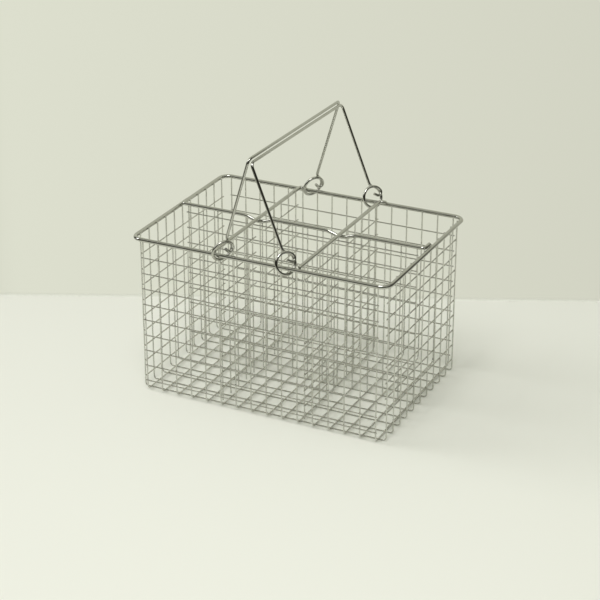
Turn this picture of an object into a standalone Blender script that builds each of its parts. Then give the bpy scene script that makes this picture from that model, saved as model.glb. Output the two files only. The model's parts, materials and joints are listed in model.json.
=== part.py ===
"""Wire-mesh cutlery caddy with six compartments and two carrying bails.

Run it with blender --background --python part.py, or from the text editor.
Units are metres. X runs along the long side, Y to the rear and Z up, and the
basket stands on Z = 0 with the origin under its middle.
"""

from math import asin, cos, pi, radians, sin, sqrt

import bmesh
import bpy
from mathutils import Matrix, Vector

OBJECT_NAME = "cutlery_caddy"
NUGGET_GROUP = "weld_nuggets"

# Welded mesh: the floor and the four walls that its wires are folded up into
MESH_PITCH = 0.020
MESH_WIRE = 0.0016
CELLS_LONG = 15
CELLS_DEEP = 10
FIRST_ROW_HEIGHT = 0.0145
ROW_TO_RIM = 0.010
SIDE_WALL_OVERHANG = 0.009
END_WALL_OVERHANG = 0.010
SIDE_FOLD_RADIUS = 0.004
END_FOLD_RADIUS = 0.006
FOLD_TAIL = 0.001
END_ROW_TAIL = 0.002
SIDE_ROW_TAIL = 0.002

# Gap between wires that touch, and the nuggets that bridge it at a weld
WELD_GAP = 0.0003
NUGGET_WIDTH = 0.001
MERGE_DISTANCE = 0.000001

# Rim
RIM_WIRE = 0.005
RIM_HEIGHT = 0.1985
RIM_CORNER_RADIUS = 0.012
UPRIGHT_RISE = 0.0009

# Dividers
DIVIDER_WIRE = 0.0045
DIVIDER_RISE = 0.0035
CROSS_DIVIDER_X = 0.054
CROSS_UPRIGHTS = 5
CROSS_FIRST_UPRIGHT = 0.018
CROSS_ROW_INNER_END = 0.012
CROSS_ROW_OUTER_TAIL = 0.004
CROSS_FIRST_ROW_DROP = 0.020
LONG_FIRST_ROW_DROP = 0.010
ROW_TO_FLOOR = 0.004
DIP_HALF_LENGTH = 0.022
FOOT_BEND_RADIUS = 0.004
CROSS_FOOT_LENGTH = 0.004
LONG_FOOT_LENGTH = 0.010

# Bails
BAIL_WIRE = 0.0035
EYE_DIAMETER = 0.029
EYE_FROM_MIDDLE = 0.043
EYE_LIFT = 0.007
EYE_YAW = radians(60)
EYE_START = radians(60)
EYE_TURN = radians(400)
HOOK_RADIUS = 0.004
HOOK_TURN = radians(150)
HOOK_TAIL = 0.005
EYE_LEAD_RADIUS = 0.0078
BAIL_LENGTH = 0.1265
GRIP_CORNER_RADIUS = 0.006
LEFT_LEAN = radians(16.6)
PAIR_TURN = radians(-1.2)

# Facets of the round wires
MESH_BEVEL_RESOLUTION = 1
BAIL_BEVEL_RESOLUTION = 2
RIM_BEVEL_RESOLUTION = 3
MESH_SIDES = 4 + 2 * MESH_BEVEL_RESOLUTION
BEND_STEPS = 3
RIM_CORNER_STEPS = 6
DIP_STEPS = 8
RING_STEP = radians(15)
HOOK_STEPS = 6

X_AXIS = (1.0, 0.0, 0.0)
Y_AXIS = (0.0, 1.0, 0.0)
Z_AXIS = (0.0, 0.0, 1.0)

# Chrome-plated steel wire
CHROME_COLOR = (0.70, 0.70, 0.66, 1.0)
CHROME_ROUGHNESS = 0.16

# Places that follow from the sizes above
HALF_LONG = CELLS_LONG * MESH_PITCH / 2
HALF_DEEP = CELLS_DEEP * MESH_PITCH / 2
MESH_RADIUS = MESH_WIRE / 2
MESH_LAYER = MESH_WIRE + WELD_GAP
LOWER_WIRE_Z = MESH_RADIUS * cos(pi / MESH_SIDES)
UPPER_WIRE_Z = LOWER_WIRE_Z + MESH_LAYER
FLOOR_TOP = UPPER_WIRE_Z + MESH_RADIUS
SIDE_WALL_X = HALF_LONG + SIDE_WALL_OVERHANG
END_WALL_Y = HALF_DEEP + END_WALL_OVERHANG
UPRIGHT_TOP = RIM_HEIGHT + UPRIGHT_RISE
RIM_RADIUS = RIM_WIRE / 2
RIM_OFFSET = MESH_RADIUS + WELD_GAP + RIM_RADIUS
RIM_X = SIDE_WALL_X + RIM_OFFSET
RIM_Y = END_WALL_Y + RIM_OFFSET
DIVIDER_RADIUS = DIVIDER_WIRE / 2
DIVIDER_Z = RIM_HEIGHT + DIVIDER_RISE
FOOT_OFFSET = sqrt((RIM_RADIUS + DIVIDER_RADIUS + WELD_GAP) ** 2 - DIVIDER_RISE ** 2)
DIP_DEPTH = DIVIDER_WIRE + WELD_GAP
RING_RADIUS = (EYE_DIAMETER - BAIL_WIRE) / 2
RING_SHIFT = BAIL_WIRE + WELD_GAP
RING_CENTRE = EYE_LEAD_RADIUS * (1 - cos(EYE_START)) - RING_RADIUS * cos(EYE_START)
EYE_Y_OFFSET = RING_CENTRE * sin(EYE_YAW) - RING_SHIFT / 2 * cos(EYE_YAW)


def right_lean():
    """Lean at which the right grip rests against the left bail's legs."""
    reach = 2 * EYE_FROM_MIDDLE * cos(LEFT_LEAN) - RING_SHIFT
    return asin(reach / BAIL_LENGTH) - LEFT_LEAN


def clear_scene():
    for item in list(bpy.data.objects):
        bpy.data.objects.remove(item)


def new_collection(name):
    group = bpy.data.collections.new(name)
    bpy.context.scene.collection.children.link(group)
    return group


def chrome(name):
    """A chrome material of the piece's own."""
    material = bpy.data.materials.new(name + "_chrome")
    material.use_nodes = True
    shader = material.node_tree.nodes["Principled BSDF"]
    shader.inputs["Base Color"].default_value = CHROME_COLOR
    shader.inputs["Roughness"].default_value = CHROME_ROUGHNESS
    shader.inputs["Metallic"].default_value = 1.0
    return material


def wire_curve(name, paths, diameter, resolution, closed=False):
    """A curve of round wires along paths of points; a level six-sided wire lies on a flat."""
    curve = bpy.data.curves.new(name, "CURVE")
    curve.dimensions = "3D"
    curve.bevel_depth = diameter / 2
    curve.bevel_resolution = resolution
    curve.use_fill_caps = not closed
    for path in paths:
        spline = curve.splines.new("POLY")
        spline.points.add(len(path) - 1)
        spline.use_cyclic_u = closed
        for point, place in zip(spline.points, path):
            point.co = (*place, 1.0)
    curve.materials.append(chrome(name))
    return curve


def single_wire(group, name, path, diameter, resolution, closed=False):
    """A node that is one bent wire."""
    curve = wire_curve(name, [path], diameter, resolution, closed)
    piece = bpy.data.objects.new(name, curve)
    group.objects.link(piece)
    return piece


def mesh_from_wires(group, name, paths):
    """Thin mesh wires as a mesh object whose end caps are welded on."""
    source = bpy.data.objects.new(name, wire_curve(name, paths, MESH_WIRE, MESH_BEVEL_RESOLUTION))
    group.objects.link(source)
    depsgraph = bpy.context.evaluated_depsgraph_get()
    mesh = bpy.data.meshes.new_from_object(source.evaluated_get(depsgraph))
    place = source.matrix_world.copy()
    bpy.data.objects.remove(source)
    shape = bmesh.new()
    shape.from_mesh(mesh)
    bmesh.ops.remove_doubles(shape, verts=shape.verts, dist=MERGE_DISTANCE)
    bmesh.ops.recalc_face_normals(shape, faces=shape.faces)
    shape.to_mesh(mesh)
    shape.free()
    piece = bpy.data.objects.new(name, mesh)
    piece.matrix_world = place
    group.objects.link(piece)
    return piece


def nuggets(name, welds, across):
    """Small blocks between crossing wires; across is the unit axis from wire to wire."""
    width = Vector((NUGGET_WIDTH, NUGGET_WIDTH, NUGGET_WIDTH))
    size = width + Vector(across) * (MESH_LAYER - NUGGET_WIDTH)
    shape = bmesh.new()
    for weld in welds:
        place = Matrix.Translation(weld) @ Matrix.Diagonal((*size, 1.0))
        bmesh.ops.create_cube(shape, size=1.0, matrix=place)
    mesh = bpy.data.meshes.new(name + "_nuggets")
    shape.to_mesh(mesh)
    shape.free()
    blocks = bpy.data.objects.new(name + "_nuggets", mesh)
    blocks.hide_render = True
    blocks.display_type = "WIRE"
    bpy.data.collections[NUGGET_GROUP].objects.link(blocks)
    return blocks


def welded_wires(group, name, paths, welds, across):
    """A node of thin wires that its weld nuggets make one body."""
    piece = mesh_from_wires(group, name, paths)
    union = piece.modifiers.new("welds", "BOOLEAN")
    union.operation = "UNION"
    union.object = nuggets(name, welds, across)


def arc(centre, radius, start, turn, steps):
    """Points of a plane arc, both ends included."""
    angles = [start + turn * step / steps for step in range(steps + 1)]
    return [(centre[0] + radius * cos(a), centre[1] + radius * sin(a)) for a in angles]


def fold_profile(half_width, base, radius):
    """A wall wire from its butt on the floor to the rim, as sideways place and height."""
    start = half_width - radius
    bend = arc((start, base + radius), radius, -pi / 2, pi / 2, BEND_STEPS)
    return [(start - FOLD_TAIL, base), *bend, (half_width, UPRIGHT_TOP)]


def flat_reach(half_width, radius):
    """How far a floor wire runs to each side before its fold."""
    return half_width - radius - FOLD_TAIL - WELD_GAP


def grid_places(cells):
    return [(index - cells / 2) * MESH_PITCH for index in range(cells + 1)]


def wall_row_heights():
    """Level wires of a wall, from the lowest up to a clearance under the rim."""
    room = RIM_HEIGHT - ROW_TO_RIM - FIRST_ROW_HEIGHT
    return [FIRST_ROW_HEIGHT + row * MESH_PITCH for row in range(int(room / MESH_PITCH) + 1)]


def divider_row_heights(drop):
    """Level wires of a divider, from a drop under its top wire down to near the floor."""
    first = DIVIDER_Z - drop
    room = first - FLOOR_TOP - ROW_TO_FLOOR
    return [first - row * MESH_PITCH for row in range(int(room / MESH_PITCH) + 1)]


def tie_places(uprights, rows, weld_at):
    """Welds that hold a net together: the last row at each upright, the others at the first."""
    welds = [weld_at(upright, rows[-1]) for upright in uprights]
    return welds + [weld_at(uprights[0], row) for row in rows[:-1]]


def build_floor(group):
    """The flat net that the basket stands on, side-to-side wires lowest."""
    places = grid_places(CELLS_LONG)
    lines = grid_places(CELLS_DEEP)
    reach_x = flat_reach(SIDE_WALL_X, SIDE_FOLD_RADIUS)
    reach_y = flat_reach(END_WALL_Y, END_FOLD_RADIUS)
    paths = [[(-reach_x, y, LOWER_WIRE_Z), (reach_x, y, LOWER_WIRE_Z)] for y in lines]
    paths += [[(x, -reach_y, UPPER_WIRE_Z), (x, reach_y, UPPER_WIRE_Z)] for x in places]
    weld_z = LOWER_WIRE_Z + MESH_LAYER / 2
    welds = tie_places(places, lines, lambda x, y: (x, y, weld_z))
    welded_wires(group, "floor_mesh", paths, welds, Z_AXIS)


def build_end_wall(group, name, side):
    """The front (-1) or rear (1) wall, with its level wires outside."""
    places = grid_places(CELLS_LONG)
    heights = wall_row_heights()
    profile = fold_profile(END_WALL_Y, UPPER_WIRE_Z, END_FOLD_RADIUS)
    reach = HALF_LONG + END_ROW_TAIL
    row_y = side * (END_WALL_Y + MESH_LAYER)
    weld_y = side * (END_WALL_Y + MESH_LAYER / 2)
    paths = [[(x, side * s, z) for s, z in profile] for x in places]
    paths += [[(-reach, row_y, z), (reach, row_y, z)] for z in heights]
    welds = tie_places(places, heights, lambda x, z: (x, weld_y, z))
    welded_wires(group, name, paths, welds, Y_AXIS)


def build_side_wall(group, name, side):
    """The left (-1) or right (1) wall, with its level wires inside."""
    places = grid_places(CELLS_DEEP)
    heights = wall_row_heights()
    profile = fold_profile(SIDE_WALL_X, LOWER_WIRE_Z, SIDE_FOLD_RADIUS)
    reach = HALF_DEEP + SIDE_ROW_TAIL
    row_x = side * (SIDE_WALL_X - MESH_LAYER)
    weld_x = side * (SIDE_WALL_X - MESH_LAYER / 2)
    paths = [[(side * s, y, z) for s, z in profile] for y in places]
    paths += [[(row_x, -reach, z), (row_x, reach, z)] for z in heights]
    welds = tie_places(places, heights, lambda y, z: (weld_x, y, z))
    welded_wires(group, name, paths, welds, X_AXIS)


def build_basket(group):
    """The floor net and the four wall nets."""
    build_floor(group)
    build_end_wall(group, "front_wall_mesh", -1)
    build_end_wall(group, "rear_wall_mesh", 1)
    build_side_wall(group, "left_wall_mesh", -1)
    build_side_wall(group, "right_wall_mesh", 1)


def build_rim(group):
    """The closed rim wire with its four rounded corners."""
    inner_x = RIM_X - RIM_CORNER_RADIUS
    inner_y = RIM_Y - RIM_CORNER_RADIUS
    corners = ((inner_x, -inner_y), (inner_x, inner_y), (-inner_x, inner_y), (-inner_x, -inner_y))
    path = []
    for index, corner in enumerate(corners):
        start = (index - 1) * pi / 2
        points = arc(corner, RIM_CORNER_RADIUS, start, pi / 2, RIM_CORNER_STEPS)
        path += [(x, y, RIM_HEIGHT) for x, y in points]
    single_wire(group, "rim_wire", path, RIM_WIRE, RIM_BEVEL_RESOLUTION, closed=True)


def dip_at(x):
    """How far the long divider's top wire dips at a place along it."""
    distance = abs(abs(x) - CROSS_DIVIDER_X)
    if distance >= DIP_HALF_LENGTH:
        return 0.0
    return DIP_DEPTH * (1 + cos(pi * distance / DIP_HALF_LENGTH)) / 2


def build_long_top_wire(group):
    """The full-length top wire, which passes under the two others."""
    end_x = RIM_X - FOOT_OFFSET
    bend = FOOT_BEND_RADIUS
    foot_end = bend + LONG_FOOT_LENGTH
    left = arc((-end_x + bend, bend), bend, pi, pi / 2, BEND_STEPS)
    right = arc((end_x - bend, bend), bend, -pi / 2, pi / 2, BEND_STEPS)
    path = [(-end_x, foot_end, DIVIDER_Z)]
    path += [(x, y, DIVIDER_Z) for x, y in left]
    for crossing in (-CROSS_DIVIDER_X, CROSS_DIVIDER_X):
        for step in range(DIP_STEPS + 1):
            x = crossing + (2 * step / DIP_STEPS - 1) * DIP_HALF_LENGTH
            path.append((x, 0.0, DIVIDER_Z - dip_at(x)))
    path += [(x, y, DIVIDER_Z) for x, y in right]
    path.append((end_x, foot_end, DIVIDER_Z))
    single_wire(group, "long_divider_top_wire", path, DIVIDER_WIRE, BAIL_BEVEL_RESOLUTION)


def build_long_net(group):
    """The full-length divider's net, its level wires on the front side."""
    places = grid_places(CELLS_LONG)
    heights = divider_row_heights(LONG_FIRST_ROW_DROP)
    bottom = FLOOR_TOP + WELD_GAP
    top = DIVIDER_Z - DIVIDER_RADIUS - WELD_GAP
    reach = HALF_LONG + SIDE_ROW_TAIL
    paths = [[(x, 0.0, bottom), (x, 0.0, top - dip_at(x))] for x in places]
    paths += [[(-reach, -MESH_LAYER, z), (reach, -MESH_LAYER, z)] for z in heights]
    welds = tie_places(places, heights, lambda x, z: (x, -MESH_LAYER / 2, z))
    welded_wires(group, "long_divider_mesh", paths, welds, Y_AXIS)


def build_cross_top_wire(group, name, side):
    """A cross divider's top wire, plain at the front and bent along the rear rim."""
    plain_y = RIM_Y - RIM_RADIUS - WELD_GAP
    foot_y = RIM_Y - FOOT_OFFSET
    bend = FOOT_BEND_RADIUS
    path = [(0.0, -plain_y, 0.0)]
    turn = arc((bend, foot_y - bend), bend, pi, -pi / 2, BEND_STEPS)
    path += [(x, y, 0.0) for x, y in turn]
    path.append((bend + CROSS_FOOT_LENGTH, foot_y, 0.0))
    top_wire = single_wire(group, name, path, DIVIDER_WIRE, BAIL_BEVEL_RESOLUTION)
    top_wire.location = (side * CROSS_DIVIDER_X, 0.0, DIVIDER_Z)


def build_cross_half(group, name, x, end):
    """A cross divider's net between the long divider and an end wall."""
    places = [end * (CROSS_FIRST_UPRIGHT + index * MESH_PITCH) for index in range(CROSS_UPRIGHTS)]
    heights = divider_row_heights(CROSS_FIRST_ROW_DROP)
    bottom = FLOOR_TOP + WELD_GAP
    top = DIVIDER_Z - DIVIDER_RADIUS - WELD_GAP
    inner = end * CROSS_ROW_INNER_END
    outer = places[-1] + end * CROSS_ROW_OUTER_TAIL
    row_x = x + MESH_LAYER
    paths = [[(x, y, bottom), (x, y, top)] for y in places]
    paths += [[(row_x, inner, z), (row_x, outer, z)] for z in heights]
    welds = tie_places(places, heights, lambda y, z: (x + MESH_LAYER / 2, y, z))
    welded_wires(group, name, paths, welds, X_AXIS)


def build_dividers(group):
    """The long divider and the two cross dividers, which it parts into halves."""
    build_long_top_wire(group)
    build_long_net(group)
    for side_name, side in (("left", -1), ("right", 1)):
        build_cross_top_wire(group, side_name + "_divider_top_wire", side)
        for end_name, end in (("front", -1), ("rear", 1)):
            name = f"{side_name}_divider_{end_name}_mesh"
            build_cross_half(group, name, side * CROSS_DIVIDER_X, end)


def eye_hook():
    """The coil's inner end: a straight tail and the small hook that leads into the ring."""
    start = EYE_START - EYE_TURN
    end = start - HOOK_TURN
    reach = RING_RADIUS - HOOK_RADIUS
    centre = (RING_CENTRE + reach * cos(start), EYE_LIFT + reach * sin(start))
    bend = arc(centre, HOOK_RADIUS, end, HOOK_TURN, HOOK_STEPS)
    tail = (bend[0][0] + HOOK_TAIL * sin(end), bend[0][1] - HOOK_TAIL * cos(end))
    return [tail, *bend[:-1]]


def eye_profile():
    """The eye from its tail to the leg: across, up, and along the coil's axis."""
    rise = RING_SHIFT / (2 * pi)
    points = [(across, up, -rise * EYE_TURN) for across, up in eye_hook()]
    steps = round(EYE_TURN / RING_STEP)
    for step in range(steps, -1, -1):
        turned = EYE_TURN * step / steps
        across = RING_CENTRE + RING_RADIUS * cos(EYE_START - turned)
        up = EYE_LIFT + RING_RADIUS * sin(EYE_START - turned)
        points.append((across, up, -rise * turned))
    lead_z = EYE_LIFT + (RING_RADIUS + EYE_LEAD_RADIUS) * sin(EYE_START)
    lead = arc((EYE_LEAD_RADIUS, lead_z), EYE_LEAD_RADIUS, pi + EYE_START, -EYE_START, BEND_STEPS)
    points += [(across, up, 0.0) for across, up in lead[1:]]
    return points


def eye_points(leg_y):
    """The eye's points beside a leg, in the bail's own axes."""
    across_axis = Vector((cos(EYE_YAW), sin(EYE_YAW), 0.0))
    coil_axis = Vector((-sin(EYE_YAW), cos(EYE_YAW), 0.0))
    base = Vector((0.0, leg_y, 0.0))
    places = []
    for across, up, along in eye_profile():
        place = base + across * across_axis + along * coil_axis
        places.append((place.x, place.y, up))
    return places


def bail_path():
    """A whole bail, from the front eye's tail over the grip to the rear eye's tail."""
    front_y = -RIM_Y - EYE_Y_OFFSET
    rear_y = RIM_Y - EYE_Y_OFFSET
    bend = GRIP_CORNER_RADIUS
    front_bend = arc((front_y + bend, BAIL_LENGTH - bend), bend, pi, -pi / 2, BEND_STEPS)
    rear_bend = arc((rear_y - bend, BAIL_LENGTH - bend), bend, pi / 2, -pi / 2, BEND_STEPS)
    path = eye_points(front_y)
    path += [(0.0, y, z) for y, z in front_bend + rear_bend]
    return path + eye_points(rear_y)[::-1]


def build_bails(group):
    """The two bails on one turned pair of axes, each with its origin on its own axis."""
    pair = bpy.data.objects.new("bail_axes", None)
    group.objects.link(pair)
    pair.location = (0.0, 0.0, RIM_HEIGHT)
    pair.rotation_euler = (0.0, 0.0, PAIR_TURN)
    for name, place, lean in (
        ("left_bail", -EYE_FROM_MIDDLE, LEFT_LEAN),
        ("right_bail", EYE_FROM_MIDDLE, -right_lean()),
    ):
        bail = single_wire(group, name, bail_path(), BAIL_WIRE, BAIL_BEVEL_RESOLUTION)
        bail.parent = pair
        bail.location = (place, 0.0, 0.0)
        bail.rotation_euler = (0.0, lean, 0.0)


def main():
    clear_scene()
    group = new_collection(OBJECT_NAME)
    new_collection(NUGGET_GROUP)
    build_basket(group)
    build_rim(group)
    build_dividers(group)
    build_bails(group)


main()
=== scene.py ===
"""Looks of the wire mesh cutlery caddy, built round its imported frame.

Laid out as an add-on and run as a script. Units are metres, in the frame's own
axes: X along the basket's long side, Y to the rear and Z up.
"""

import json
from math import asin, atan2, cos, pi, radians, sin

import bmesh
import bpy
from bpy.props import FloatProperty, FloatVectorProperty, IntProperty, PointerProperty
from bpy.types import Operator, Panel, PropertyGroup
from mathutils import Matrix, Vector


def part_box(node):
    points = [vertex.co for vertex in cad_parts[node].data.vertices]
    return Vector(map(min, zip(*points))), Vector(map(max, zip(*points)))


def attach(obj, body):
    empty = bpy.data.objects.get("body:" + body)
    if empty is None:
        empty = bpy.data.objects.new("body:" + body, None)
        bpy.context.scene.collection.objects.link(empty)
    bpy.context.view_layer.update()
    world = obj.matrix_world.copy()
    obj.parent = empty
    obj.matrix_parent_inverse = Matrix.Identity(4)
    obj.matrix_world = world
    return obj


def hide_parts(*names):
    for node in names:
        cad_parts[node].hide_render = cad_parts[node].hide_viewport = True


bl_info = {
    "name": "Wire cutlery caddy",
    "version": (1, 0, 0),
    "blender": (4, 5, 0),
    "location": "View3D > Sidebar > Caddy",
    "description": "Builds a chromed wire mesh caddy with two carrying bails",
    "category": "Object",
}

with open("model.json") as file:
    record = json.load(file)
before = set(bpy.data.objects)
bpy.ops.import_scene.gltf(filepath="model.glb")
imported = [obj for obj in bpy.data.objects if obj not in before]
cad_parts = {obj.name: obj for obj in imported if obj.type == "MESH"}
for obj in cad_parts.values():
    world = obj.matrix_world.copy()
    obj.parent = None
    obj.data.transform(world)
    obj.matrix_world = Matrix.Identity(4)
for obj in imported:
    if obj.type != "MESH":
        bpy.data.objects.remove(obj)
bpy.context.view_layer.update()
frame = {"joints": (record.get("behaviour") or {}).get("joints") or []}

X_AXIS = Vector((1.0, 0.0, 0.0))
Y_AXIS = Vector((0.0, 1.0, 0.0))
Z_AXIS = Vector((0.0, 0.0, 1.0))

# The basket's body and the two bodies that swing on it
BASKET = "basket"
LEFT_BAIL = "left_bail"
RIGHT_BAIL = "right_bail"

# Welded mesh: cells of the floor, and wires of the walls and dividers
CELLS_LONG = 15
CELLS_DEEP = 10
UPRIGHTS_LONG = CELLS_LONG + 1
UPRIGHTS_DEEP = CELLS_DEEP + 1
WALL_ROWS = 9
CROSS_UPRIGHTS = 5
CROSS_ROWS = 9
LONG_ROWS = 10

# Points along bent wires
BEND_STEPS = 8
CORNER_STEPS = 12
DIP_STEPS = 16
RING_STEPS = 60
QUARTER_TURN = pi / 2

# Drawn wires. A curve's bevel has four sides, and two more for each step of its resolution
BEVEL_SIDES = 4
SIDES_PER_STEP = 2
QUAD_CORNERS = 4
SMOOTH_ANGLE = radians(40)

# Shares of a wire's gauge: how near points are merged, and how far its ends are rounded
MERGE_SHARE = 0.01
END_ROUND_SHARE = 0.125
END_ROUND_STEPS = 2

# Weld beads, squashed along the axis from wire to wire
BEAD_SEGMENTS = 8
BEAD_RINGS = 6
BEAD_SQUASH = 0.4
RIM_BEAD_SCALE = 1.2

# Names of the finishes
HEAVY_CHROME = "bright_chrome_on_heavy_wire"
MESH_CHROME = "bright_chrome_on_mesh_wire"
WELD_CHROME = "chrome_over_welds"
BOARD_PAINT = "matt_painted_board"

# Clouds in the chrome, as left by fingers and washing. The size is in metres
CLOUD_SIZE = 0.012
CLOUD_DETAIL = 3.0
CLOUD_ROUGHNESS = 0.6
HAZE_START = 0.35
HAZE_FULL = 0.75

# Ripple of the plate. Its size, from crest to crest, and its height are in metres
RIPPLE_SIZE = 0.0015
RIPPLE_HEIGHT = 0.00002
RIPPLE_DETAIL = 2.0
RIPPLE_STRENGTH = 0.25

# Roughness that a finish adds to the bright plate's, and that its haze adds to that
HEAVY_ROUGHNESS = (0.0, 0.08)
MESH_ROUGHNESS = (0.04, 0.12)
WELD_ROUGHNESS = (0.12, 0.15)

# Sockets of a mix node that mixes colours
MIX_SHARE = 0
MIX_START = 6
MIX_END = 7
MIX_RESULT = 2


def srgb(code):
    """A hex colour as the linear values that shaders take."""
    channels = [int(code[i : i + 2], 16) / 255 for i in (1, 3, 5)]
    return [c / 12.92 if c <= 0.04045 else ((c + 0.055) / 1.055) ** 2.4 for c in channels]


def length(name, description, default):
    """A property that holds a real length."""
    return FloatProperty(
        name=name, description=description, default=default, min=0.0, unit="LENGTH", precision=5
    )


def colour(name, description, code):
    """A property that holds a colour."""
    return FloatVectorProperty(
        name=name, description=description, default=srgb(code), subtype="COLOR", min=0.0, max=1.0
    )


def turn(name, description, degrees):
    """A property that holds an angle."""
    return FloatProperty(
        name=name, description=description, default=radians(degrees), subtype="ANGLE"
    )


class CaddyMeshSizes(PropertyGroup):
    """Sizes of the welded mesh."""

    pitch: length("Pitch", "Distance from wire to wire", 0.020)
    gauge: length("Wire", "Diameter of the mesh wire", 0.0016)
    sink: length("Weld sink", "How far crossing wires are pressed into each other", 0.0003)
    first_row: length("First row", "Height of the lowest level wire of a wall", 0.0145)
    upright_top: length("Upright top", "Height of the wall wires' ends", 0.1994)
    end_tail: length("End tail", "Overhang of a long wall's level wire", 0.002)
    side_tail: length("Side tail", "Overhang of a short wall's level wire", 0.002)
    side_fold: length("Side fold", "Bend radius at the foot of the short walls", 0.004)
    end_fold: length("End fold", "Bend radius at the foot of the long walls", 0.006)
    bead: length("Weld bead", "Width of the flattened metal at a weld", 0.0019)
    first_upright: length("First upright", "From the middle to a cross net's first upright", 0.018)
    long_drop: length("Long drop", "From the long top wire to its net's highest level wire", 0.010)
    cross_drop: length("Cross drop", "The same under a cross divider's top wire", 0.020)
    sides: IntProperty(name="Sides", description="Facets round a mesh wire", default=12, min=6)


class CaddyHeavySizes(PropertyGroup):
    """Sizes of the rim, the dividers' top wires and the bails."""

    rim_gauge: length("Rim wire", "Diameter of the rim wire", 0.005)
    rim_corner: length("Rim corner", "Bend radius of the rim's corners", 0.012)
    divider_gauge: length("Divider wire", "Diameter of the dividers' top wires", 0.0045)
    divider_rise: length("Divider rise", "Height of the top wires over the rim", 0.0035)
    foot_bend: length("Foot bend", "Bend radius of a top wire's foot", 0.004)
    dip_half: length("Dip", "Half the length over which the long top wire dips", 0.022)
    pass_gap: length("Pass gap", "Clearance where the top wires cross", 0.0003)
    cross_x: length("Cross divider", "Distance of a cross divider from the middle", 0.054)
    bail_gauge: length("Bail wire", "Diameter of the bail wire", 0.0035)
    round_trim: length("Round trim", "Taken off the bail wire, for its finer rounds", 0.0001)
    sides: IntProperty(name="Sides", description="Facets round a heavy wire", default=20, min=8)


class CaddyBailSizes(PropertyGroup):
    """Shape of a bail and of its coiled eyes."""

    eye_width: length("Eye", "Outside diameter of a coiled eye", 0.029)
    eye_lift: length("Eye lift", "Height of the eye's middle over the swing axis", 0.007)
    eye_yaw: turn("Eye yaw", "How far an eye is turned from the basket's long side", 60)
    eye_start: turn("Eye start", "Where on the eye its wire leaves for the leg", 60)
    eye_turn: turn("Eye turn", "How far the eye's wire coils before its hook", 400)
    hook_radius: length("Hook radius", "Bend radius of the hook at the coil's inner end", 0.004)
    hook_turn: turn("Hook turn", "How far the hook turns in", 150)
    hook_tail: length("Hook tail", "Straight end past the hook", 0.005)
    lead_radius: length("Lead radius", "Bend radius from the eye to the leg", 0.0078)
    gap: length("Gap", "Clearance between wires that rest on each other", 0.0003)
    reach: length("Reach", "Length of a bail from its axis to its grip", 0.1265)
    corner: length("Grip corner", "Bend radius between leg and grip", 0.006)
    left_lean: turn("Left lean", "How far the left bail leans inward", 16.6)


class CaddyFinish(PropertyGroup):
    """Colours and gloss of the plated wire."""

    plate: colour("Chrome", "Bright chrome plate", "#C6C7C3")
    # Painted light: the thin wires take a lighter copy of the same chrome, so that they reflect
    # brighter
    mesh_plate_painted_lighter: colour("Mesh plate", "Bright chrome plate on the thin wires", "#DEDFDA")
    haze: colour("Chrome haze", "Chrome where fingers and washing dull it", "#B3B2A8")
    weld: colour("Weld chrome", "Thin plate over a weld", "#A3A299")
    roughness: FloatProperty(
        name="Roughness", description="Roughness of the bright plate",
        default=0.07, min=0.0, max=1.0,
    )


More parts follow.
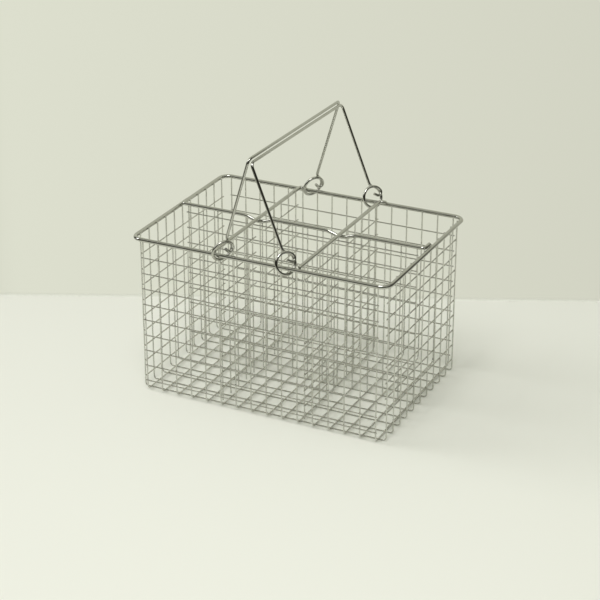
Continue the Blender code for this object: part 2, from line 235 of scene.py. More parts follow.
class CaddyStage(PropertyGroup):
    """Floor, backdrop, lamps and camera."""

    # Painted light on the floor: its colour is darker below the window and lighter away from it,
    # evening out the window's light
    floor_painted_shade_side: colour("Floor left", "Pale matt floor below the window", "#E6E7DE")
    floor_painted_light_side: colour("Floor right", "Pale matt floor away from the window", "#F4F5EC")
    # Painted light on the backdrop's glow: lighter on the window's side, darker away from it
    backdrop_painted_light_side: colour("Backdrop left", "Backdrop on its lighter side", "#DDDFCE")
    backdrop_painted_shade_side: colour("Backdrop right", "Backdrop on its darker side", "#D0D1C1")
    wall_behind: length("Backdrop behind", "From the caddy's middle to the backdrop", 0.234)
    wall_turn: turn("Backdrop turn", "Direction that the backdrop faces", 24.7)
    # Reach of the painted side light on floor and backdrop
    painted_light_reach: length("Tint reach", "From the middle to where a side's tint is full", 0.45)
    cove: length("Cove", "Bend radius between floor and backdrop", 0.004)
    board_roughness: FloatProperty(
        name="Board roughness", description="Roughness of the matt paint", default=0.9
    )
    reach: length("Board reach", "How far the board runs to each side", 6.0)
    # Painted pool of light: away from the lit place the board and backdrop take these dim colours
    dim_floor: colour("Board outside", "Board outside the lit place", "#75756B")
    dim_wall: colour("Backdrop outside", "Backdrop outside the lit place", "#62625A")
    lit_at: FloatVectorProperty(
        name="Lit place", description="Middle of the lit part of the board",
        default=(0.044, -0.09, 0.0), subtype="TRANSLATION",
    )
    lit_radius: length("Lit radius", "Radius of the evenly lit part of the board", 0.5)
    lit_end: length("Lit end", "Radius where the board gets dim", 0.72)
    room: colour("Room", "Dim walls of the room", "#2C2C26")
    ceiling: colour("Ceiling", "Bright ceiling of the room", "#C6C7BC")
    ceiling_start: FloatProperty(
        name="Ceiling start", description="Sine of the height where the walls end", default=0.4
    )
    ceiling_full: FloatProperty(
        name="Ceiling full", description="Sine of the height where the ceiling is bright",
        default=0.62,
    )
    azimuth: turn("Azimuth", "Direction that the camera looks from", 26.16)
    elevation: turn("Elevation", "Height of the camera over the horizon", 24.73)
    distance: length("Distance", "From the camera to its aim", 2.283)
    focal: FloatProperty(name="Focal length", description="In image widths", default=3.19)
    aim: FloatVectorProperty(
        name="Aim", description="Point that the camera looks at",
        default=(0.0051, -0.0104, 0.1102), subtype="TRANSLATION",
    )
    window_size: length("Window", "Width of the soft window", 1.3)
    window_power: FloatProperty(name="Window power", description="In watts", default=40.0)
    window_at: FloatVectorProperty(
        name="Window place", description="Place of the soft window",
        default=(-2.4, -0.6, 1.8), subtype="TRANSLATION",
    )
    panel_size: length("Panel", "Width of the ceiling panel", 0.8)
    panel_power: FloatProperty(name="Panel power", description="In watts", default=17.5)
    panel_at: FloatVectorProperty(
        name="Panel place", description="Place of the ceiling panel",
        default=(0.2, -1.0, 2.1), subtype="TRANSLATION",
    )


# Modelling steps


def start_clean():
    """Leaves nothing selected and no object in edit mode."""
    if bpy.context.object and bpy.context.object.mode != "OBJECT":
        bpy.ops.object.mode_set(mode="OBJECT")
    bpy.ops.object.select_all(action="DESELECT")


def pick(piece):
    """Makes one object the only selected one."""
    start_clean()
    piece.select_set(True)
    bpy.context.view_layer.objects.active = piece


def settle(piece):
    """Puts an object's place into its mesh."""
    pick(piece)
    bpy.ops.object.transform_apply(location=True, rotation=True, scale=True)


def round_ends(piece, width):
    """Takes the sheared edge off a wire's ends, its only faces with more than four corners."""
    pick(piece)
    bpy.ops.object.mode_set(mode="EDIT")
    bpy.ops.mesh.select_mode(type="EDGE")
    bpy.ops.mesh.select_all(action="DESELECT")
    shape = bmesh.from_edit_mesh(piece.data)
    for face in shape.faces:
        if len(face.verts) > QUAD_CORNERS:
            for edge in face.edges:
                edge.select_set(True)
    bmesh.update_edit_mesh(piece.data)
    bpy.ops.mesh.bevel(offset=width, segments=END_ROUND_STEPS)
    bpy.ops.object.mode_set(mode="OBJECT")


def draw_wire(points, gauge, sides, closed=False):
    """A round wire: a point pushed out step by step, then given its thickness."""
    points = [Vector(point) for point in points]
    start_clean()
    bpy.ops.mesh.primitive_plane_add(size=gauge, location=points[0])
    bpy.ops.object.mode_set(mode="EDIT")
    bpy.ops.mesh.select_mode(type="VERT")
    bpy.ops.mesh.select_all(action="SELECT")
    bpy.ops.mesh.merge(type="CENTER")
    for here, there in zip(points, points[1:]):
        bpy.ops.mesh.extrude_region_move(TRANSFORM_OT_translate={"value": there - here})
    if closed:
        bpy.ops.mesh.extrude_region_move(TRANSFORM_OT_translate={"value": points[0] - points[-1]})
        bpy.ops.mesh.select_all(action="SELECT")
        bpy.ops.mesh.remove_doubles(threshold=MERGE_SHARE * gauge)
    bpy.ops.object.mode_set(mode="OBJECT")
    bpy.ops.object.convert(target="CURVE")
    wire = bpy.context.object
    wire.data.bevel_depth = gauge / 2
    wire.data.bevel_resolution = (sides - BEVEL_SIDES) // SIDES_PER_STEP
    wire.data.use_fill_caps = not closed
    bpy.ops.object.convert(target="MESH")
    wire = bpy.context.object
    bpy.ops.object.mode_set(mode="EDIT")
    bpy.ops.mesh.select_all(action="SELECT")
    bpy.ops.mesh.remove_doubles(threshold=MERGE_SHARE * gauge)
    bpy.ops.mesh.normals_make_consistent(inside=False)
    bpy.ops.object.mode_set(mode="OBJECT")
    settle(wire)
    if not closed:
        round_ends(wire, END_ROUND_SHARE * gauge)
    return wire


def repeat(piece, step, count):
    """Copies a piece in a row, all in one mesh, and gives it back."""
    pick(piece)
    bpy.ops.object.modifier_add(type="ARRAY")
    row = piece.modifiers[-1]
    row.use_relative_offset = False
    row.use_constant_offset = True
    row.constant_offset_displace = step
    row.count = count
    bpy.ops.object.modifier_apply(modifier=row.name)
    return piece


def join(name, pieces):
    """Makes one named object of several."""
    start_clean()
    for piece in pieces:
        piece.select_set(True)
    bpy.context.view_layer.objects.active = pieces[0]
    bpy.ops.object.join()
    whole = bpy.context.object
    whole.name = name
    whole.data.name = name
    bpy.ops.object.shade_smooth_by_angle(angle=SMOOTH_ANGLE)
    return whole


def weld_bead(place, width, across):
    """The squashed metal where two wires are welded; across is the axis from wire to wire."""
    start_clean()
    bpy.ops.mesh.primitive_uv_sphere_add(
        segments=BEAD_SEGMENTS, ring_count=BEAD_RINGS, radius=width / 2, location=place
    )
    bead = bpy.context.object
    flat = Vector((1.0, 1.0, 1.0)) - BEAD_SQUASH * across
    bpy.ops.object.mode_set(mode="EDIT")
    bpy.ops.mesh.select_all(action="SELECT")
    bpy.ops.transform.resize(value=flat)
    bpy.ops.object.mode_set(mode="OBJECT")
    settle(bead)
    return plate(bead, WELD_CHROME)


def bead_grid(first, width, across, steps, counts):
    """Weld beads at every crossing of a net."""
    bead = weld_bead(first, width, across)
    for step, count in zip(steps, counts):
        repeat(bead, step, count)
    return bead


def plate(piece, material):
    """Gives a piece its material."""
    piece.data.materials.clear()
    piece.data.materials.append(bpy.data.materials[material])
    return piece


def hand_over(piece, body, node):
    """Says what a finished piece rides on and stands for."""
    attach(piece, body)
    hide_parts(node)


def arc(centre, radius, start, sweep, steps):
    """Points of a plane arc, both ends included."""
    angles = [start + sweep * step / steps for step in range(steps + 1)]
    return [(centre[0] + radius * cos(a), centre[1] + radius * sin(a)) for a in angles]


# Finishes


def add_node(tree, kind, settings=None, links=None):
    """Adds a shader node with its settings and its incoming links."""
    made = tree.nodes.new(kind)
    for name, value in (settings or {}).items():
        if isinstance(name, str) and hasattr(made, name):
            setattr(made, name, value)
        else:
            made.inputs[name].default_value = value
    for name, source in (links or {}).items():
        tree.links.new(source, made.inputs[name])
    return made


def new_material(name):
    """The node tree of a new material, and its output node."""
    material = bpy.data.materials.new(name)
    material.use_nodes = True
    material.node_tree.nodes.clear()
    return material.node_tree, add_node(material.node_tree, "ShaderNodeOutputMaterial")


def mix_colours(tree, share, start, end):
    """Mixes two colours, the first of which may be a node's output."""
    mix = add_node(
        tree, "ShaderNodeMix", {"data_type": "RGBA", MIX_END: (*end, 1.0)}, {MIX_SHARE: share}
    )
    if isinstance(start, bpy.types.NodeSocket):
        tree.links.new(start, mix.inputs[MIX_START])
    else:
        mix.inputs[MIX_START].default_value = (*start, 1.0)
    return mix.outputs[MIX_RESULT]


def chrome_finish(name, bright, roughness):
    """Chrome plate over drawn steel wire: a mirror with faint cloudy patches and a fine ripple."""
    finish = bpy.context.scene.caddy_finish
    tree, output = new_material(name)
    place = add_node(tree, "ShaderNodeTexCoord").outputs["Object"]
    clouds = add_node(
        tree, "ShaderNodeTexNoise",
        {"Scale": 1 / CLOUD_SIZE, "Detail": CLOUD_DETAIL, "Roughness": CLOUD_ROUGHNESS},
        {"Vector": place},
    ).outputs["Fac"]
    ripple = add_node(
        tree, "ShaderNodeTexNoise", {"Scale": 1 / RIPPLE_SIZE, "Detail": RIPPLE_DETAIL},
        {"Vector": place},
    ).outputs["Fac"]
    added, dulled = roughness
    clean = finish.roughness + added
    rough = add_node(
        tree, "ShaderNodeMapRange",
        {"From Min": HAZE_START, "From Max": HAZE_FULL, "To Min": clean, "To Max": clean + dulled},
        {"Value": clouds},
    )
    relief = add_node(
        tree, "ShaderNodeBump", {"Strength": RIPPLE_STRENGTH, "Distance": RIPPLE_HEIGHT},
        {"Height": ripple},
    )
    tint = mix_colours(tree, clouds, bright, finish.haze)
    shader = add_node(
        tree, "ShaderNodeBsdfPrincipled", {"Metallic": 1.0},
        {"Base Color": tint, "Roughness": rough.outputs[0], "Normal": relief.outputs[0]},
    )
    tree.links.new(shader.outputs[0], output.inputs["Surface"])


def make_finishes():
    """The chrome of the heavy wires, of the mesh wires and of the welds."""
    finish = bpy.context.scene.caddy_finish
    chrome_finish(HEAVY_CHROME, finish.plate, HEAVY_ROUGHNESS)
    # The thin wires' chrome is a lighter copy of the same plate, painted light
    chrome_finish(MESH_CHROME, finish.mesh_plate_painted_lighter, MESH_ROUGHNESS)
    chrome_finish(WELD_CHROME, finish.weld, WELD_ROUGHNESS)


# Basket mesh


def mesh_wire(points):
    """One mesh wire in its finish."""
    sizes = bpy.context.scene.caddy_mesh
    return plate(draw_wire(points, sizes.gauge, sizes.sides), MESH_CHROME)


def half(cells):
    """Half the length of a row of mesh cells."""
    return cells * bpy.context.scene.caddy_mesh.pitch / 2


def crossing():
    """Distance between the middles of two wires that are welded across each other."""
    sizes = bpy.context.scene.caddy_mesh
    return sizes.gauge - sizes.sink


def side_wall_x():
    """Where the short walls' uprights stand, from the frame."""
    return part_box("right_wall_mesh")[1][0] - bpy.context.scene.caddy_mesh.gauge / 2


def rim_reach():
    """How far the rim wire's middle line stands out along X and Y, from the frame."""
    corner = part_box("rim_wire")[1]
    radius = bpy.context.scene.caddy_heavy.rim_gauge / 2
    return corner[0] - radius, corner[1] - radius


def rim_height():
    """Height of the rim wire's middle line, from the frame."""
    low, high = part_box("rim_wire")
    return (low[2] + high[2]) / 2


def end_wall_y():
    """Where the long walls' uprights stand: as far inside the rim wire as the short walls'."""
    rim_x, rim_y = rim_reach()
    return rim_y - (rim_x - side_wall_x())


def build_floor():
    """The floor net, with its side-to-side wires under the others."""
    sizes = bpy.context.scene.caddy_mesh
    lower = sizes.gauge / 2
    upper = lower + crossing()
    reach_x = side_wall_x() - sizes.side_fold
    reach_y = end_wall_y() - sizes.end_fold
    front, left = -half(CELLS_DEEP), -half(CELLS_LONG)
    across = mesh_wire([(-reach_x, front, lower), (reach_x, front, lower)])
    repeat(across, sizes.pitch * Y_AXIS, UPRIGHTS_DEEP)
    along = mesh_wire([(left, -reach_y, upper), (left, reach_y, upper)])
    repeat(along, sizes.pitch * X_AXIS, UPRIGHTS_LONG)
    beads = bead_grid(
        (left, front, (lower + upper) / 2), sizes.bead, Z_AXIS,
        (sizes.pitch * X_AXIS, sizes.pitch * Y_AXIS), (UPRIGHTS_LONG, UPRIGHTS_DEEP),
    )
    floor = join("floor_net", [across, along, beads])
    hand_over(floor, BASKET, "floor_mesh")


def fold_profile(wall, base, radius):
    """A wall wire from the floor up, as sideways place and height."""
    sizes = bpy.context.scene.caddy_mesh
    bend = arc((wall - radius, base + radius), radius, -QUARTER_TURN, QUARTER_TURN, BEND_STEPS)
    return [*bend, (wall, sizes.upright_top)]


def rim_beads(place, outward, along, count):
    """Welds between a wall's uprights and the rim wire outside them."""
    sizes = bpy.context.scene.caddy_mesh
    first = Vector((*place, rim_height())) + (sizes.gauge / 2) * outward
    bead = weld_bead(first, sizes.bead * RIM_BEAD_SCALE, Vector([abs(c) for c in outward]))
    return repeat(bead, sizes.pitch * along, count)


def build_end_wall(name, node, side):
    """The front (-1) or rear (1) wall, with its level wires outside."""
    sizes = bpy.context.scene.caddy_mesh
    wall = end_wall_y()
    base = sizes.gauge / 2 + crossing()
    left = -half(CELLS_LONG)
    profile = fold_profile(wall, base, sizes.end_fold)
    uprights = mesh_wire([(left, side * s, z) for s, z in profile])
    repeat(uprights, sizes.pitch * X_AXIS, UPRIGHTS_LONG)
    row_y = side * (wall + crossing())
    reach = half(CELLS_LONG) + sizes.end_tail
    rows = mesh_wire([(-reach, row_y, sizes.first_row), (reach, row_y, sizes.first_row)])
    repeat(rows, sizes.pitch * Z_AXIS, WALL_ROWS)
    beads = bead_grid(
        (left, side * (wall + crossing() / 2), sizes.first_row), sizes.bead, Y_AXIS,
        (sizes.pitch * X_AXIS, sizes.pitch * Z_AXIS), (UPRIGHTS_LONG, WALL_ROWS),
    )
    hold = rim_beads((left, side * wall), side * Y_AXIS, X_AXIS, UPRIGHTS_LONG)
    net = join(name, [uprights, rows, beads, hold])
    hand_over(net, BASKET, node)


def build_side_wall(name, node, side):
    """The left (-1) or right (1) wall, with its level wires inside."""
    sizes = bpy.context.scene.caddy_mesh
    wall = side_wall_x()
    front = -half(CELLS_DEEP)
    profile = fold_profile(wall, sizes.gauge / 2, sizes.side_fold)
    uprights = mesh_wire([(side * s, front, z) for s, z in profile])
    repeat(uprights, sizes.pitch * Y_AXIS, UPRIGHTS_DEEP)
    row_x = side * (wall - crossing())
    reach = half(CELLS_DEEP) + sizes.side_tail
    rows = mesh_wire([(row_x, -reach, sizes.first_row), (row_x, reach, sizes.first_row)])
    repeat(rows, sizes.pitch * Z_AXIS, WALL_ROWS)
    beads = bead_grid(
        (side * (wall - crossing() / 2), front, sizes.first_row), sizes.bead, X_AXIS,
        (sizes.pitch * Y_AXIS, sizes.pitch * Z_AXIS), (UPRIGHTS_DEEP, WALL_ROWS),
    )
    hold = rim_beads((side * wall, front), side * X_AXIS, Y_AXIS, UPRIGHTS_DEEP)
    net = join(name, [uprights, rows, beads, hold])
    hand_over(net, BASKET, node)


# Rim and dividers


def heavy_wire(name, points, gauge, closed=False):
    """One heavy wire in its finish."""
    sides = bpy.context.scene.caddy_heavy.sides
    wire = plate(draw_wire(points, gauge, sides, closed), HEAVY_CHROME)
    return join(name, [wire])


def build_rim():
    """The rim: one closed wire with four rounded corners."""
    heavy = bpy.context.scene.caddy_heavy
    reach_x, reach_y = rim_reach()
    inner_x = reach_x - heavy.rim_corner
    inner_y = reach_y - heavy.rim_corner
    corners = ((inner_x, -inner_y), (inner_x, inner_y), (-inner_x, inner_y), (-inner_x, -inner_y))
    path = []
    for index, corner in enumerate(corners):
        start = (index - 1) * QUARTER_TURN
        points = arc(corner, heavy.rim_corner, start, QUARTER_TURN, CORNER_STEPS)
        path += [(x, y, rim_height()) for x, y in points]
    rim = heavy_wire("rim", path, heavy.rim_gauge, closed=True)
    hand_over(rim, BASKET, "rim_wire")


def divider_z():
    """Height of the dividers' top wires, over the rim."""
    return rim_height() + bpy.context.scene.caddy_heavy.divider_rise


def dip_at(x):
    """How far the long top wire dips to pass under the cross ones."""
    heavy = bpy.context.scene.caddy_heavy
    distance = abs(abs(x) - heavy.cross_x)
    if distance >= heavy.dip_half:
        return 0.0
    depth = heavy.divider_gauge + heavy.pass_gap
    return depth * (1 + cos(pi * distance / heavy.dip_half)) / 2


def build_long_top():
    """The long divider's top wire: a foot bent along the rim at each end, and two dips."""
    heavy = bpy.context.scene.caddy_heavy
    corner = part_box("long_divider_top_wire")[1]
    end_x = corner[0] - heavy.divider_gauge / 2
    foot_end = corner[1]
    bend = heavy.foot_bend
    z = divider_z()
    left = arc((-end_x + bend, bend), bend, pi, QUARTER_TURN, BEND_STEPS)
    right = arc((end_x - bend, bend), bend, -QUARTER_TURN, QUARTER_TURN, BEND_STEPS)
    path = [(-end_x, foot_end, z)] + [(x, y, z) for x, y in left]
    for middle in (-heavy.cross_x, heavy.cross_x):
        for step in range(DIP_STEPS + 1):
            x = middle + (2 * step / DIP_STEPS - 1) * heavy.dip_half
            path.append((x, 0.0, z - dip_at(x)))
    path += [(x, y, z) for x, y in right] + [(end_x, foot_end, z)]
    top = heavy_wire("long_divider_rail", path, heavy.divider_gauge)
    hand_over(top, BASKET, "long_divider_top_wire")


def build_cross_top(side, name, node):
    """A cross divider's top wire: plain at the front, bent along the rear rim."""
    heavy = bpy.context.scene.caddy_heavy
    low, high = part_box(node)
    bend = heavy.foot_bend
    z = divider_z()
    x = side * heavy.cross_x
    foot_y = high[1] - heavy.divider_gauge / 2
    turn_in = arc((x + bend, foot_y - bend), bend, pi, -QUARTER_TURN, BEND_STEPS)
    path = [(x, low[1], z)] + [(u, v, z) for u, v in turn_in] + [(high[0], foot_y, z)]
    top = heavy_wire(name, path, heavy.divider_gauge)
    hand_over(top, BASKET, node)


def build_long_net():
    """The long divider's net, with its level wires in front of the uprights."""
    sizes = bpy.context.scene.caddy_mesh
    heavy = bpy.context.scene.caddy_heavy
    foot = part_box("long_divider_mesh")[0][2]
    left = -half(CELLS_LONG)
    underside = divider_z() - heavy.divider_gauge / 2
    xs = [left + index * sizes.pitch for index in range(UPRIGHTS_LONG)]
    tops = [(x, 0.0, underside - dip_at(x)) for x in xs]
    uprights = [mesh_wire([(x, y, foot), (x, y, z)]) for x, y, z in tops]
    row_y = -crossing()
    first = divider_z() - sizes.long_drop - (LONG_ROWS - 1) * sizes.pitch
    reach = half(CELLS_LONG) + sizes.side_tail
    rows = mesh_wire([(-reach, row_y, first), (reach, row_y, first)])
    repeat(rows, sizes.pitch * Z_AXIS, LONG_ROWS)
    beads = bead_grid(
        (left, row_y / 2, first), sizes.bead, Y_AXIS,
        (sizes.pitch * X_AXIS, sizes.pitch * Z_AXIS), (UPRIGHTS_LONG, LONG_ROWS),
    )
    holds = [weld_bead(top, sizes.bead, Z_AXIS) for top in tops]
    net = join("long_divider_net", [*uprights, rows, beads, *holds])
    hand_over(net, BASKET, "long_divider_mesh")


def build_cross_half(name, node, side, end):
    """A cross divider's net between the long divider and a long wall."""
    sizes = bpy.context.scene.caddy_mesh
    heavy = bpy.context.scene.caddy_heavy
    low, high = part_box(node)
    x = side * heavy.cross_x
    row_x = x + crossing()
    first_y = sizes.first_upright
    if end < 0:
        first_y = -first_y - (CROSS_UPRIGHTS - 1) * sizes.pitch
    first_z = divider_z() - sizes.cross_drop - (CROSS_ROWS - 1) * sizes.pitch
    underside = divider_z() - heavy.divider_gauge / 2
    uprights = mesh_wire([(x, first_y, low[2]), (x, first_y, underside)])
    repeat(uprights, sizes.pitch * Y_AXIS, CROSS_UPRIGHTS)
    rows = mesh_wire([(row_x, low[1], first_z), (row_x, high[1], first_z)])
    repeat(rows, sizes.pitch * Z_AXIS, CROSS_ROWS)
    beads = bead_grid(
        ((x + row_x) / 2, first_y, first_z), sizes.bead, X_AXIS,
        (sizes.pitch * Y_AXIS, sizes.pitch * Z_AXIS), (CROSS_UPRIGHTS, CROSS_ROWS),
    )
    hold = weld_bead((x, first_y, underside), sizes.bead, Z_AXIS)
    repeat(hold, sizes.pitch * Y_AXIS, CROSS_UPRIGHTS)
    net = join(name, [uprights, rows, beads, hold])
    hand_over(net, BASKET, node)


# Bails


def coil_pitch():
    """Distance from turn to turn of an eye's coil."""
    return bpy.context.scene.caddy_heavy.bail_gauge + bpy.context.scene.caddy_bail.gap


def coil_radius():
    """Radius of the middle line of an eye's coil."""
    bail = bpy.context.scene.caddy_bail
    return (bail.eye_width - bpy.context.scene.caddy_heavy.bail_gauge) / 2


def coil_middle():
    """How far an eye's middle stands beside its leg."""
    bail = bpy.context.scene.caddy_bail
    return bail.lead_radius * (1 - cos(bail.eye_start)) - coil_radius() * cos(bail.eye_start)


def eye_hook():
    """The coil's inner end: a straight tail and the small hook that leads into the ring."""
    bail = bpy.context.scene.caddy_bail
    start = bail.eye_start - bail.eye_turn
    end = start - bail.hook_turn
    reach = coil_radius() - bail.hook_radius
    centre = (coil_middle() + reach * cos(start), bail.eye_lift + reach * sin(start))
    bend = arc(centre, bail.hook_radius, end, bail.hook_turn, BEND_STEPS)
    tail = (bend[0][0] + bail.hook_tail * sin(end), bend[0][1] - bail.hook_tail * cos(end))
    return [tail, *bend[:-1]]


def eye_profile():
    """The coiled eye from its tail to the leg: across, up and along the coil's axis."""
    bail = bpy.context.scene.caddy_bail
    ring = coil_radius()
    middle = coil_middle()
    rise = coil_pitch() / (2 * pi)
    points = [(across, up, -rise * bail.eye_turn) for across, up in eye_hook()]
    for step in range(RING_STEPS, -1, -1):
        turned = bail.eye_turn * step / RING_STEPS
        angle = bail.eye_start - turned
        across, up = middle + ring * cos(angle), bail.eye_lift + ring * sin(angle)
        points.append((across, up, -rise * turned))
    lead = bail.lead_radius
    lead_z = bail.eye_lift + (ring + lead) * sin(bail.eye_start)
    bend = arc((lead, lead_z), lead, pi + bail.eye_start, -bail.eye_start, BEND_STEPS)
    return points + [(across, up, 0.0) for across, up in bend[1:]]


def bail_path():
    """A whole bail in its own axes, from the front eye's tail to the rear eye's."""
    bail = bpy.context.scene.caddy_bail
    rim_y = rim_reach()[1]
    offset = coil_middle() * sin(bail.eye_yaw) - coil_pitch() / 2 * cos(bail.eye_yaw)
    across_axis = Vector((cos(bail.eye_yaw), sin(bail.eye_yaw), 0.0))
    coil_axis = Vector((-sin(bail.eye_yaw), cos(bail.eye_yaw), 0.0))
    profile = eye_profile()

    def eye(leg_y):
        leg = leg_y * Y_AXIS
        return [leg + a * across_axis + c * coil_axis + u * Z_AXIS for a, u, c in profile]

    front_y, rear_y = -rim_y - offset, rim_y - offset
    bend = bail.corner
    top = bail.reach - bend
    front = arc((front_y + bend, top), bend, pi, -QUARTER_TURN, BEND_STEPS)
    rear = arc((rear_y - bend, top), bend, QUARTER_TURN, -QUARTER_TURN, BEND_STEPS)
    grip = [Vector((0.0, y, z)) for y, z in front + rear]
    return eye(front_y) + grip + eye(rear_y)[::-1]


def right_lean(from_middle):
    """Lean at which the right grip rests on the left bail's legs."""
    bail = bpy.context.scene.caddy_bail
    reach = 2 * from_middle * cos(bail.left_lean) - coil_pitch()
    return asin(reach / bail.reach) - bail.left_lean


def build_bail(name, body, side):
    """The left (-1) or right (1) bail at its rest lean, on its joint's axis."""
    heavy = bpy.context.scene.caddy_heavy
    joint = next(j for j in frame["joints"] if j["child"] == body)
    pivot = Vector(joint["pos_m"])
    axis = side * Vector(joint["axis"])
    lean = bpy.context.scene.caddy_bail.left_lean
    if side > 0:
        lean = -right_lean(pivot.xy.length)
    skew = Matrix.Rotation(atan2(-axis.x, axis.y), 4, "Z")
    place = Matrix.Translation(pivot) @ skew @ Matrix.Rotation(lean, 4, "Y")
    # A hair thinner than the plain wire, whose corners the finer rounds stay inside
    gauge = heavy.bail_gauge - heavy.round_trim
    wire = heavy_wire(name, [place @ point for point in bail_path()], gauge)
    hand_over(wire, body, body)


# Stage


def outside_light(tree, place):
    """How far a point of the board is out of the painted pool of light, from 0 to 1."""
    look = bpy.context.scene.caddy_stage
    level = add_node(
        tree, "ShaderNodeVectorMath", {"operation": "MULTIPLY", 1: (1.0, 1.0, 0.0)}, {0: place}
    )
    away = add_node(
        tree, "ShaderNodeVectorMath", {"operation": "DISTANCE", 1: look.lit_at},
        {0: level.outputs[0]},
    )
    return add_node(
        tree, "ShaderNodeMapRange",
        {"interpolation_type": "SMOOTHSTEP", "From Min": look.lit_radius, "From Max": look.lit_end},
        {"Value": away.outputs["Value"]},
    ).outputs[0]


def seen_rays(tree):
    """1 for the rays that see the backdrop's glow, with its painted light: camera, glossy and
    transmission.
    """
    rays = add_node(tree, "ShaderNodeLightPath").outputs
    seen = rays["Is Camera Ray"]
    for kind in ("Is Glossy Ray", "Is Transmission Ray"):
        seen = add_node(
            tree, "ShaderNodeMath", {"operation": "MAXIMUM"}, {0: seen, 1: rays[kind]}
        ).outputs[0]
    return seen


def matt_board():
    """Matt painted board: it shades as the floor, and shows the backdrop's colour where it rises,
    both with painted light.
    """
    look = bpy.context.scene.caddy_stage
    tree, output = new_material(BOARD_PAINT)
    place = add_node(tree, "ShaderNodeTexCoord").outputs["Object"]
    split = add_node(tree, "ShaderNodeSeparateXYZ", None, {0: place}).outputs
    # Share of the painted side light, from the window's side to the far side
    sideways = add_node(
        tree, "ShaderNodeMapRange", {"From Min": -look.painted_light_reach, "From Max": look.painted_light_reach},
        {"Value": split["X"]},
    ).outputs[0]
    # Painted pool of light: the board is evenly pale around the caddy and dims away from it
    outside = outside_light(tree, place)
    # Painted light across the backdrop's glow, lighter towards the window
    wall = mix_colours(tree, sideways, look.backdrop_painted_light_side, look.backdrop_painted_shade_side)
    # Painted light across the floor, darker below the window and lighter away from it
    ground = mix_colours(tree, sideways, look.floor_painted_shade_side, look.floor_painted_light_side)
    glow = add_node(
        tree, "ShaderNodeEmission", None, {"Color": mix_colours(tree, outside, wall, look.dim_wall)}
    )
    board = add_node(
        tree, "ShaderNodeBsdfPrincipled", {"Roughness": look.board_roughness},
        {"Base Color": mix_colours(tree, outside, ground, look.dim_floor)},
    )
    risen = add_node(
        tree, "ShaderNodeMapRange", {"From Min": 0.0, "From Max": look.cove}, {"Value": split["Z"]}
    )
    on_wall = add_node(
        tree, "ShaderNodeMath", {"operation": "MULTIPLY"}, {0: seen_rays(tree), 1: risen.outputs[0]}
    )
    front = add_node(
        tree, "ShaderNodeMixShader", None,
        {0: on_wall.outputs[0], 1: board.outputs[0], 2: glow.outputs[0]},
    )
    # The backdrop shows only its front, so that the caddy is seen from behind it too
    clear = add_node(tree, "ShaderNodeBsdfTransparent")
    back = add_node(tree, "ShaderNodeNewGeometry").outputs["Backfacing"]
    sides = add_node(
        tree, "ShaderNodeMixShader", None, {0: back, 1: front.outputs[0], 2: clear.outputs[0]}
    )
    tree.links.new(sides.outputs[0], output.inputs["Surface"])


def build_floor_board():
    """The pale board that the caddy stands on."""
    start_clean()
    bpy.ops.mesh.primitive_plane_add(size=2 * bpy.context.scene.caddy_stage.reach)
    board = bpy.context.object
    board.name = "floor_board"
    plate(board, BOARD_PAINT)


def build_backdrop():
    """A sheet that rises from the floor behind the caddy, nearly square to the camera."""
    look = bpy.context.scene.caddy_stage
    start_clean()
    bpy.ops.mesh.primitive_plane_add(size=2 * look.reach)
    sheet = bpy.context.object
    bpy.ops.object.mode_set(mode="EDIT")
    bpy.ops.mesh.select_all(action="SELECT")
    bpy.ops.transform.rotate(value=-QUARTER_TURN, orient_axis="X")
    bpy.ops.transform.translate(value=(0.0, look.wall_behind, look.reach + look.cove))
    bpy.ops.mesh.select_mode(type="EDGE")
    bpy.ops.mesh.select_all(action="DESELECT")
    shape = bmesh.from_edit_mesh(sheet.data)
    edge = min(shape.edges, key=lambda e: max(v.co.z for v in e.verts))
    edge.select_set(True)
    bmesh.update_edit_mesh(sheet.data)
    bend = arc((-look.cove, look.cove), look.cove, 0.0, -QUARTER_TURN, BEND_STEPS)
    for here, there in zip(bend, bend[1:]):
        push = Vector((0.0, there[0] - here[0], there[1] - here[1]))
        bpy.ops.mesh.extrude_region_move(TRANSFORM_OT_translate={"value": push})
    bpy.ops.object.mode_set(mode="OBJECT")
    sheet.rotation_euler = (0.0, 0.0, look.wall_turn)
    settle(sheet)
    sheet.name = "backdrop"
    plate(sheet, BOARD_PAINT)
    bpy.ops.object.shade_smooth_by_angle(angle=SMOOTH_ANGLE)
    # It keeps no light from the floor behind it
    sheet.visible_shadow = False
    sheet.visible_diffuse = False


def add_lamp(name, place, size, power):
    """A square soft lamp that faces the caddy."""
    start_clean()
    bpy.ops.object.light_add(type="AREA", location=place)
    lamp = bpy.context.object
    lamp.name = name
    lamp.data.shape = "SQUARE"
    lamp.data.size = size
    lamp.data.energy = power
    aim = Vector(bpy.context.scene.caddy_stage.aim)
    lamp.rotation_euler = (aim - Vector(place)).to_track_quat("-Z", "Y").to_euler()


def light_room():
    """A room with dim walls and a bright ceiling, one soft window and a ceiling panel."""
    look = bpy.context.scene.caddy_stage
    world = bpy.data.worlds.new("studio_room")
    bpy.context.scene.world = world
    world.use_nodes = True
    tree = world.node_tree
    direction = add_node(tree, "ShaderNodeTexCoord").outputs["Generated"]
    height = add_node(tree, "ShaderNodeSeparateXYZ", None, {0: direction}).outputs["Z"]
    limits = {"From Min": look.ceiling_start, "From Max": look.ceiling_full}
    upward = add_node(
        tree, "ShaderNodeMapRange", {"interpolation_type": "SMOOTHSTEP", **limits},
        {"Value": height},
    ).outputs[0]
    tint = mix_colours(tree, upward, look.room, look.ceiling)
    tree.links.new(tint, tree.nodes["Background"].inputs["Color"])
    add_lamp("soft_window", look.window_at, look.window_size, look.window_power)
    add_lamp("ceiling_panel", look.panel_at, look.panel_size, look.panel_power)


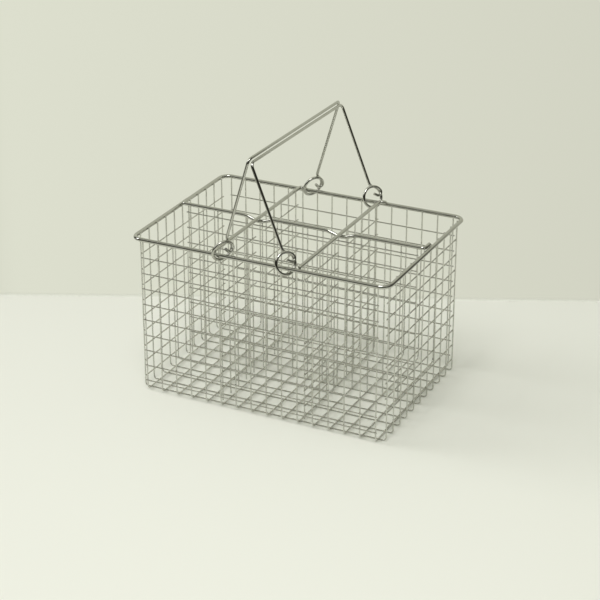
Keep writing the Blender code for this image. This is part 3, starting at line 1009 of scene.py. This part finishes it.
def place_camera():
    """The camera, at the photograph's view."""
    look = bpy.context.scene.caddy_stage
    a, e = look.azimuth, look.elevation
    back = Vector((sin(a) * cos(e), -cos(a) * cos(e), sin(e)))
    bpy.ops.object.camera_add(location=Vector(look.aim) + look.distance * back)
    camera = bpy.context.object
    camera.name = "photo_camera"
    camera.rotation_euler = (-back).to_track_quat("-Z", "Y").to_euler()
    camera.data.lens = look.focal * camera.data.sensor_width
    bpy.context.scene.camera = camera


# Operators, panel and run


class CADDY_OT_finishes(Operator):
    """Make the chrome finishes"""

    bl_idname = "caddy.finishes"
    bl_label = "Finishes"

    def execute(self, context):
        make_finishes()
        return {"FINISHED"}


class CADDY_OT_basket(Operator):
    """Build the floor net and the four wall nets"""

    bl_idname = "caddy.basket"
    bl_label = "Basket mesh"

    def execute(self, context):
        build_floor()
        build_end_wall("front_wall_net", "front_wall_mesh", -1)
        build_end_wall("rear_wall_net", "rear_wall_mesh", 1)
        build_side_wall("left_wall_net", "left_wall_mesh", -1)
        build_side_wall("right_wall_net", "right_wall_mesh", 1)
        return {"FINISHED"}


class CADDY_OT_rim(Operator):
    """Build the closed rim wire"""

    bl_idname = "caddy.rim"
    bl_label = "Rim"

    def execute(self, context):
        build_rim()
        return {"FINISHED"}


class CADDY_OT_dividers(Operator):
    """Build the long divider and the two cross dividers"""

    bl_idname = "caddy.dividers"
    bl_label = "Dividers"

    def execute(self, context):
        build_long_top()
        build_long_net()
        for word, side in (("left", -1), ("right", 1)):
            build_cross_top(side, f"{word}_divider_rail", f"{word}_divider_top_wire")
            for place, end in (("front", -1), ("rear", 1)):
                node = f"{word}_divider_{place}_mesh"
                build_cross_half(f"{word}_divider_{place}_net", node, side, end)
        return {"FINISHED"}


class CADDY_OT_bails(Operator):
    """Build the two bails with their coiled eyes"""

    bl_idname = "caddy.bails"
    bl_label = "Bails"

    def execute(self, context):
        build_bail("left_bail_wire", LEFT_BAIL, -1)
        build_bail("right_bail_wire", RIGHT_BAIL, 1)
        return {"FINISHED"}


class CADDY_OT_stage(Operator):
    """Set up the floor, the backdrop, the lamps and the camera"""

    bl_idname = "caddy.stage"
    bl_label = "Stage"

    def execute(self, context):
        matt_board()
        build_floor_board()
        build_backdrop()
        light_room()
        place_camera()
        context.scene.view_settings.view_transform = "Standard"
        return {"FINISHED"}


class CADDY_PT_panel(Panel):
    """Lists the steps in the sidebar"""

    bl_idname = "CADDY_PT_panel"
    bl_label = "Wire caddy"
    bl_space_type = "VIEW_3D"
    bl_region_type = "UI"
    bl_category = "Caddy"

    def draw(self, context):
        for step in STEPS:
            self.layout.operator(step.bl_idname)


STEPS = (
    CADDY_OT_finishes, CADDY_OT_basket, CADDY_OT_rim,
    CADDY_OT_dividers, CADDY_OT_bails, CADDY_OT_stage,
)
SETTINGS = {
    "caddy_mesh": CaddyMeshSizes,
    "caddy_heavy": CaddyHeavySizes,
    "caddy_bail": CaddyBailSizes,
    "caddy_finish": CaddyFinish,
    "caddy_stage": CaddyStage,
}


def register():
    """Adds the classes and the settings."""
    for kind in (*SETTINGS.values(), *STEPS, CADDY_PT_panel):
        bpy.utils.register_class(kind)
    for name, kind in SETTINGS.items():
        setattr(bpy.types.Scene, name, PointerProperty(type=kind))


def unregister():
    """Takes the settings and the classes away."""
    for name in SETTINGS:
        delattr(bpy.types.Scene, name)
    for kind in (CADDY_PT_panel, *STEPS, *SETTINGS.values()):
        bpy.utils.unregister_class(kind)


def main():
    """Runs every step."""
    register()
    for step in STEPS:
        group, name = step.bl_idname.split(".")
        getattr(getattr(bpy.ops, group), name)()


if __name__ == "__main__":
    main()
